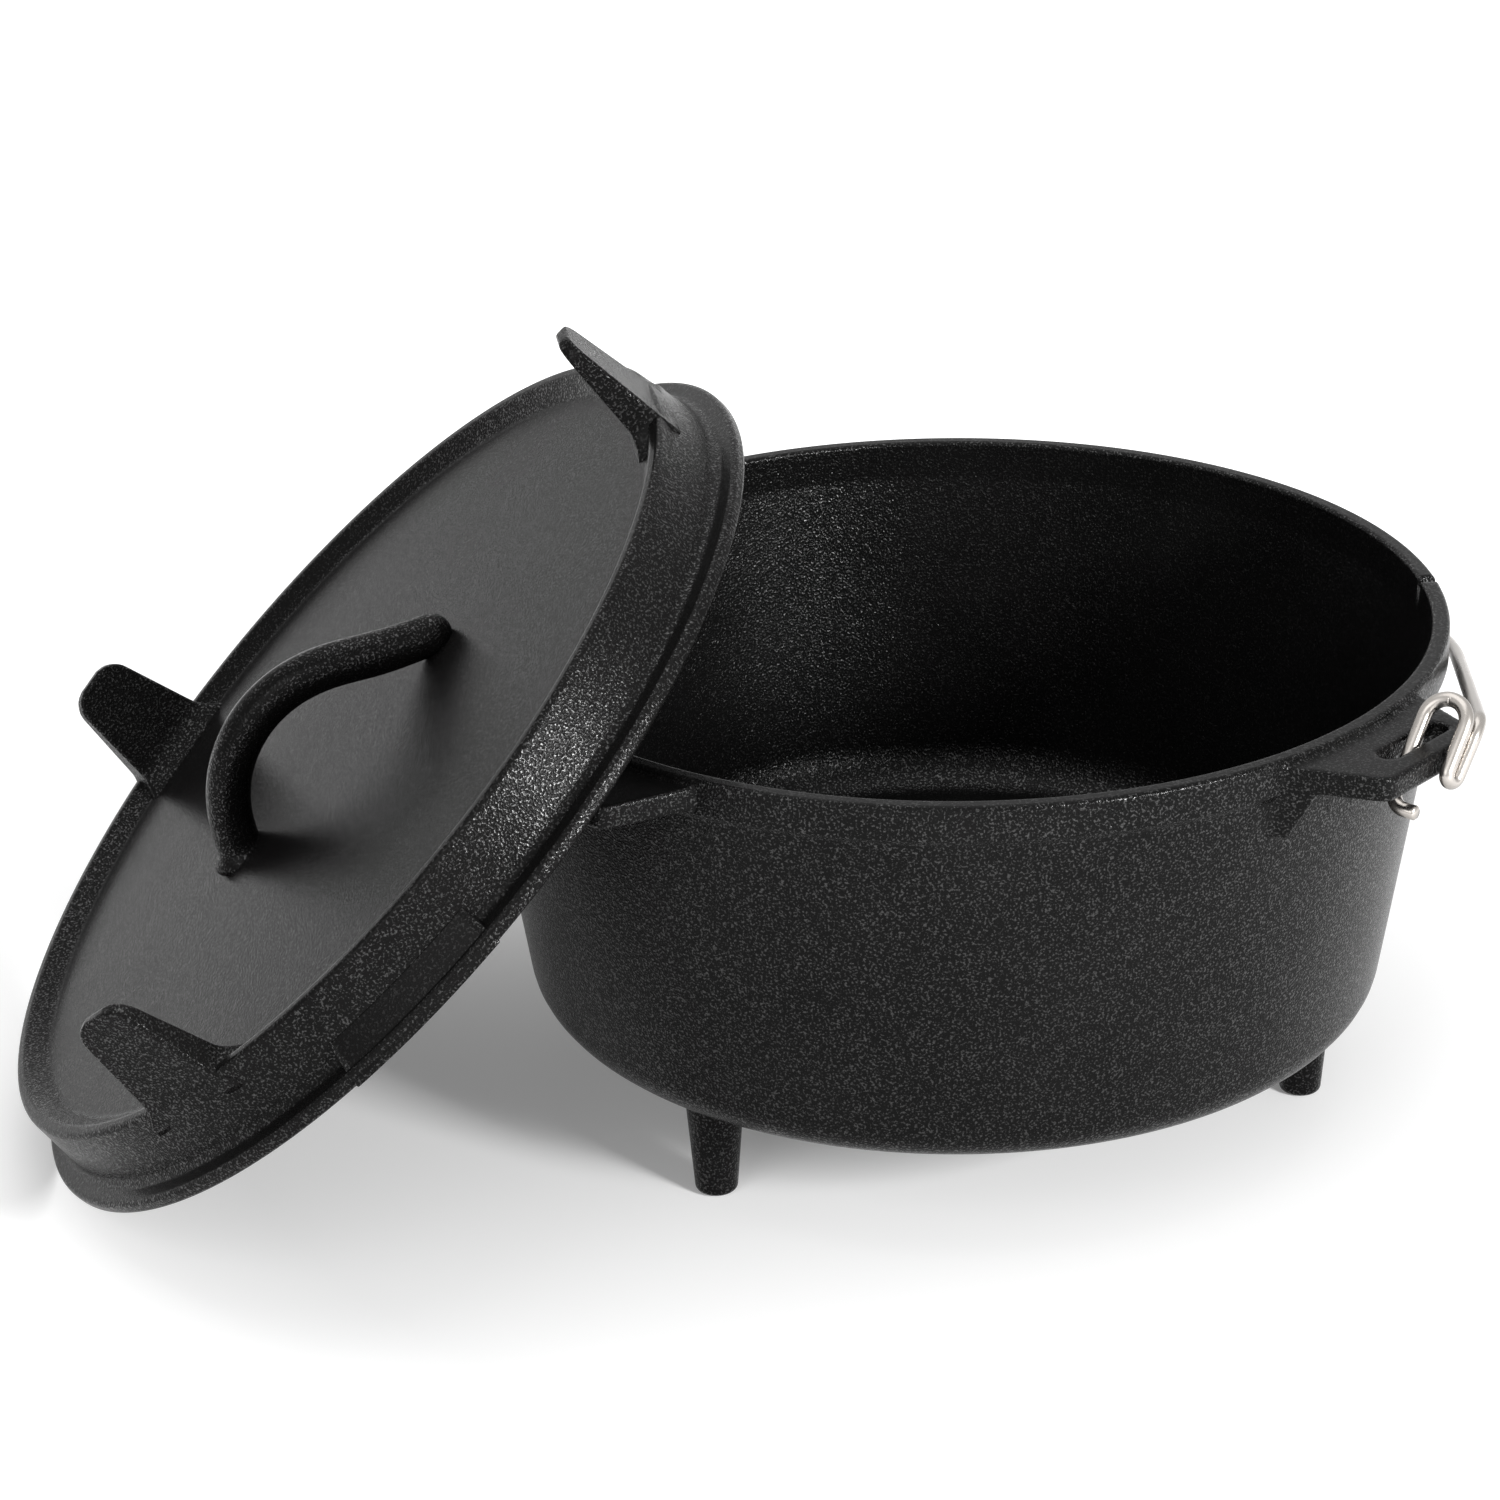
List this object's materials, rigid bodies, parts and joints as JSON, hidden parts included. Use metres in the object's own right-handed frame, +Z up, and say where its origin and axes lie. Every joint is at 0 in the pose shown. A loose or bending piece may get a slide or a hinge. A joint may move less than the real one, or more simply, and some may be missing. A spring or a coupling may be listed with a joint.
{
  "type": "camp dutch oven",
  "caption": "Cast-iron camp dutch oven: footed pot with ears and tab, footed lid with loop handle leaning on its rim, and a swinging wire bail",
  "frame": {"origin": "on the ground under the pot's axis, in the plane of the pot's three feet", "axes": "+Z up along the pot's axis; the two bail ears lie on +X and -X; the helper tab on -Y; the folded bail lies on the +Y side and the lid leans on the -X -Y side"},
  "size_m": [0.4904, 0.4789, 0.2755],
  "materials": {
    "pot_iron": "seasoned black, orange-peel cast skin, satin",
    "lid_iron": "seasoned black, orange-peel cast skin, satin",
    "bail_steel": "satin bent stainless wire"
  },
  "bodies": {
    "pot": {"pot": "pot_iron"},
    "lid": {"lid": "lid_iron"},
    "bail": {"bail": "bail_steel"}
  },
  "joints": [
    {"name": "bail_swing", "type": "hinge", "parent": "pot", "child": "bail", "pos_m": [0, 0.0085, 0.168], "axis": [1, 0, 0], "range_deg": [0, 98]},
    {"name": "lid_lift", "type": "slide", "parent": "pot", "child": "lid", "axis": [0, 0, 1], "range_m": [0, 0.3]}
  ]
}
